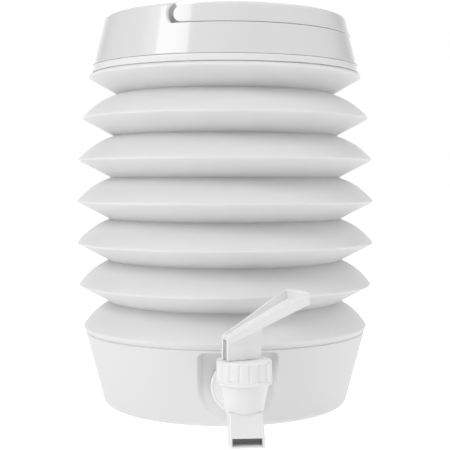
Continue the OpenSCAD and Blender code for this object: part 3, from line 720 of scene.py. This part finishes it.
def build_cheeks():
    """The lever's hub: flat foot, cam corner and upright front, with steps in its sides."""
    outline = rounded([
        (-12.65, 51.5, 0.4), (5.3, 51.5, 0), (9.2, 52.4, 2.2), (9.4, 62, 0), (9.4, 75.8, 0),
        (-12.65, 64.2, 0)], 6)
    cheeks = prism("cheeks", outline, -5, 5)
    for side in (-1, 1):
        front = box_piece("front_step", (-1.2, side * 4.45, 45), (20, side * 7, 80))
        combine(cheeks, front, "DIFFERENCE")
        low = box_piece("low_step", (-20, side * 4.7, 45), (-2.4, side * 7, 60.5))
        combine(cheeks, low, "DIFFERENCE")
    return cheeks


def build_lever():
    """The lever: a trough that widens to its end, on two cheeks that hold the pin."""
    lever = lofted("lever_paddle", [
        [(-14.3, 5.2, 0), (-14.3, -5.2, 0), (-14.3, -5.2, -4), (-14.3, 5.2, -4)],
        [(40.5, 14.4, 0), (40.5, -14.4, 0), (38.1, -14, -6.8), (38.1, 14, -6.8)]])
    trough = lofted("trough", [
        [(-12.8, 3.95, 1), (-12.8, -3.95, 1), (-12.8, -3.8, -0.73), (-12.8, 3.8, -0.73)],
        [(39.2, 13, 1), (39.2, -13, 1), (37.1, -12.4, -5.3), (37.1, 12.4, -5.3)]])
    for piece in (lever, trough):
        place(piece, (0, -LEVER_SLOPE, 0), (0, 0, LEVER_Z))
    combine(lever, build_cheeks(), "UNION")
    combine(lever, trough, "DIFFERENCE")
    slot = prism("slot", [
        (-20, 40), (12, 40), (12, 72.6), (0.28, 67.28), (-12, 64.19), (-20, 59.96)], -2.75, 2.75)
    combine(lever, slot, "DIFFERENCE")
    combine(lever, bar("pin_hole", 1.6, (0, -4.2, 60), (0, 4.2, 60), 48), "DIFFERENCE")
    soften(lever, 0.3, 2, 25)
    place(lever, (0, 0, LEVER_REST), (0, TAP[1], 0))
    dress(lever, gloss_pp, "lever", "tap_white", "tap_lever")


build_tap_body()
build_tap_cap()
build_lever()


# ---- pieces that are shown as the CAD has them ----

for names, material in (
    (("lower_clamp_ring", "upper_clamp_ring"), satin_pp),
    (("back_nut", "tap_stem"), gloss_pp),
    (("lower_seal", "upper_seal", "lid_gasket", "front_gasket", "rear_gasket", "gland_ring",
      "seat_cup"), silicone),
    (("tap_spring", "lever_pin"), steel),
):
    for name in names:
        nodes[name].data.materials.clear()
        nodes[name].data.materials.append(material)


# ---- light and floor ----

WHITE = hex_colour("#ffffff")
FIBRES_PER_METRE = 300
GLOW_ON_VESSEL, GLOW_SEEN = 0.64, 0.9  # the floor's glow as the vessel gets it and as it looks


def direction(azimuth, elevation):
    """Two angles in radians and the way they point. Azimuth 0 is the camera's side, 90 is right."""
    a, e = math.radians(azimuth + CAMERA_AZIMUTH), math.radians(elevation)
    return a, e, (math.sin(a) * math.cos(e), -math.cos(a) * math.cos(e), math.sin(e))


def softbox(name, azimuth, elevation, distance, width, height, power):
    """An area light that faces the middle of the vessel."""
    a, e, way = direction(azimuth, elevation)
    middle = (0, 0, 0.15)
    bpy.ops.object.light_add(type="AREA", location=[m + w * distance for m, w in zip(middle, way)],
                             rotation=(math.pi / 2 - e, 0, a))
    light = bpy.context.object
    light.name = name
    light.data.shape = "RECTANGLE"
    light.data.size, light.data.size_y = width, height
    light.data.energy = power


softbox("key_softbox", azimuth=-48, elevation=36, distance=1.6, width=0.7, height=0.9, power=5.8)


def studio_world():
    """A dim room with broad soft glows. The camera itself sees plain white."""
    world = bpy.data.worlds.new("pale_studio")
    bpy.context.scene.world = world
    world.use_nodes = True
    tree = world.node_tree
    tree.nodes.clear()
    coords = add_node(tree, "ShaderNodeTexCoord")
    total = add_node(tree, "ShaderNodeValue")
    total.outputs[0].default_value = 0.1  # the room itself
    for azimuth, elevation, spread, strength in (
        (180, 10, 46, 1.4),  # the backdrop
        (-58, 36, 24, 1.7),  # beside the softbox
        (-30, 10, 45, 0.1),  # low, in front
        (82, 38, 46, 0.9),  # high on the right
        (0, 90, 60, 0.95),  # overhead
    ):
        a, e, way = direction(azimuth, elevation)
        toward = add_node(tree, "ShaderNodeVectorMath", {1: way}, [(0, coords, "Generated")],
                          operation="DOT_PRODUCT")
        edge = math.cos(math.radians(spread))
        glow = add_node(tree, "ShaderNodeMapRange",
                        {"From Min": edge, "From Max": 1, "To Max": strength},
                        [("Value", toward, "Value")], interpolation_type="SMOOTHSTEP")
        total = add_node(tree, "ShaderNodeMath", (), [(0, total, "Value"), (1, glow, "Result")])
    studio = add_node(tree, "ShaderNodeBackground", {"Color": WHITE},
                      [("Strength", total, "Value")])
    seen = add_node(tree, "ShaderNodeBackground", {"Color": WHITE, "Strength": 1})
    path = add_node(tree, "ShaderNodeLightPath")
    mix = add_node(tree, "ShaderNodeMixShader", (),
                   [(0, path, "Is Camera Ray"), (1, studio, "Background"), (2, seen, "Background")])
    add_node(tree, "ShaderNodeOutputWorld", (), [("Surface", mix, "Shader")])


studio_world()


def floor_paper():
    """White backdrop paper, matt with faint fibres. It glows a little, so that it stays pale."""
    material, tree = new_material("white_paper_sweep")
    coords = add_node(tree, "ShaderNodeTexCoord")
    fibre = add_node(tree, "ShaderNodeTexNoise", {"Scale": FIBRES_PER_METRE, "Detail": 3},
                     [("Vector", coords, "Object")])
    tone = add_node(tree, "ShaderNodeMix", {"A": hex_colour("#b4b4b4"), "B": hex_colour("#b8b8b8")},
                    [("Factor", fibre, "Fac")], data_type="RGBA")
    paper = add_node(tree, "ShaderNodeBsdfDiffuse", (), [("Color", tone, MIX_COLOUR)])
    path = add_node(tree, "ShaderNodeLightPath")
    level = add_node(tree, "ShaderNodeMapRange", {"To Min": GLOW_ON_VESSEL, "To Max": GLOW_SEEN},
                     [("Value", path, "Is Camera Ray")])
    lit = add_node(tree, "ShaderNodeEmission", {"Color": WHITE}, [("Strength", level, "Result")])
    both = add_node(tree, "ShaderNodeAddShader", (), [(0, paper, "BSDF"), (1, lit, "Emission")])
    add_node(tree, "ShaderNodeOutputMaterial", (), [("Surface", both, "Shader")])
    return material


bpy.ops.mesh.primitive_plane_add(size=30)
floor = bpy.context.object
floor.name = "pale_floor"
floor.data.materials.append(floor_paper())

view = bpy.context.scene.view_settings
view.view_transform = "Standard"
view.look = "None"
